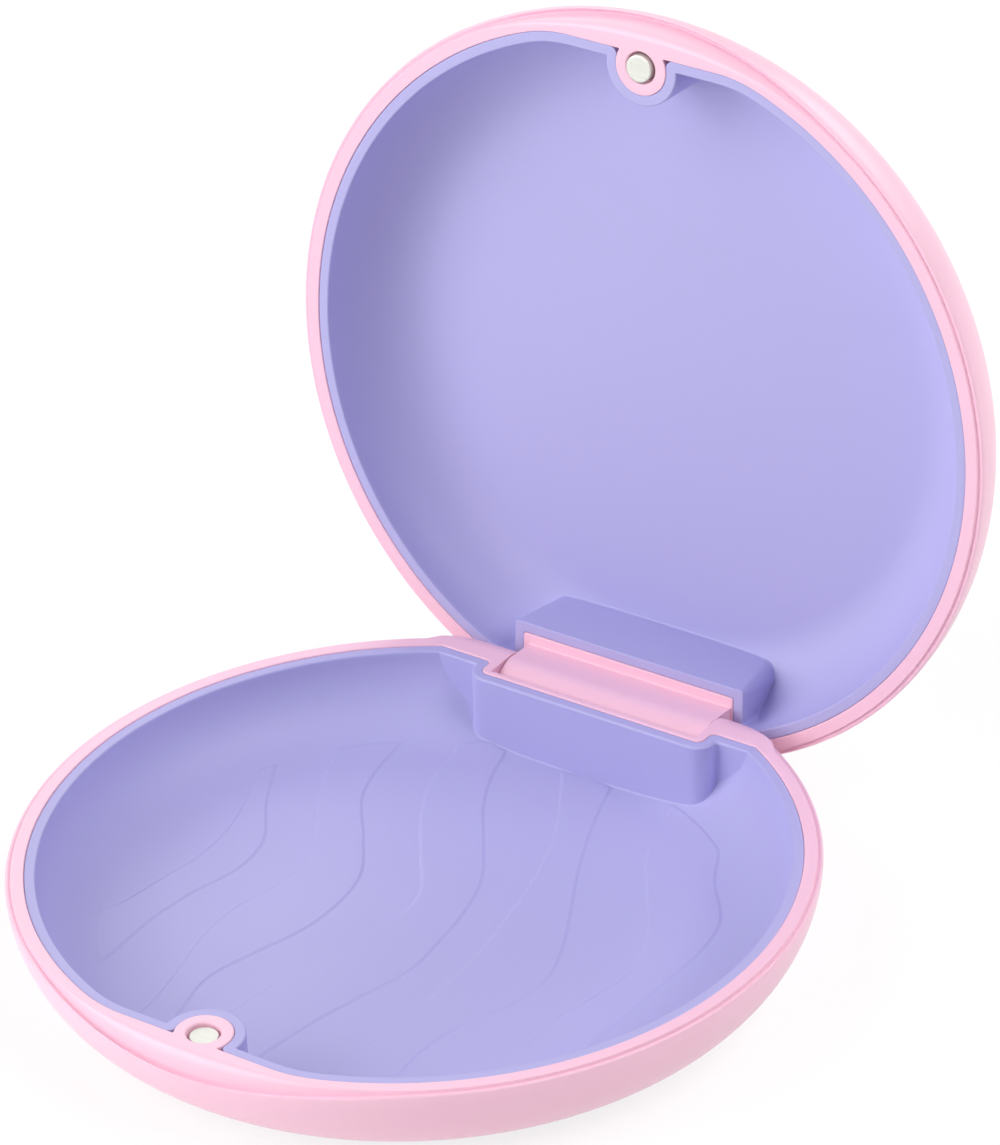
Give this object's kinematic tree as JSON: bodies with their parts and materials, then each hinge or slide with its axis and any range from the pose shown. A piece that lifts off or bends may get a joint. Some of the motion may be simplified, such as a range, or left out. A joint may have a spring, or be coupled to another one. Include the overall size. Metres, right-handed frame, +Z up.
{
  "type": "retainer case",
  "caption": "Round hinged clamshell case in pink plastic with a soft lavender liner in each half, a finger scoop at the front and a magnetic closure.",
  "frame": {"origin": "centre of the round flat foot under the base", "axes": "+Z up out of the open base, +Y towards the hinge, +X along the hinge axis to the right seen from the front"},
  "size_m": [0.085, 0.1, 0.0868],
  "materials": {
    "pink_shell": "satin moulded plastic",
    "lavender_liner": "matte silicone rubber",
    "magnet_nickel": "nickel plate",
    "pin_steel": "drawn steel wire"
  },
  "bodies": {
    "base": {"base_shell": "pink_shell", "base_liner": "lavender_liner", "base_magnet": "magnet_nickel", "hinge_pin": "pin_steel"},
    "lid": {"lid_shell": "pink_shell", "lid_liner": "lavender_liner", "lid_magnet": "magnet_nickel"}
  },
  "joints": [
    {"name": "lid_hinge", "type": "hinge", "parent": "base", "child": "lid", "pos_m": [0, 0.037, 0.0083], "axis": [1, 0, 0], "range_deg": [0, 94.8]}
  ]
}
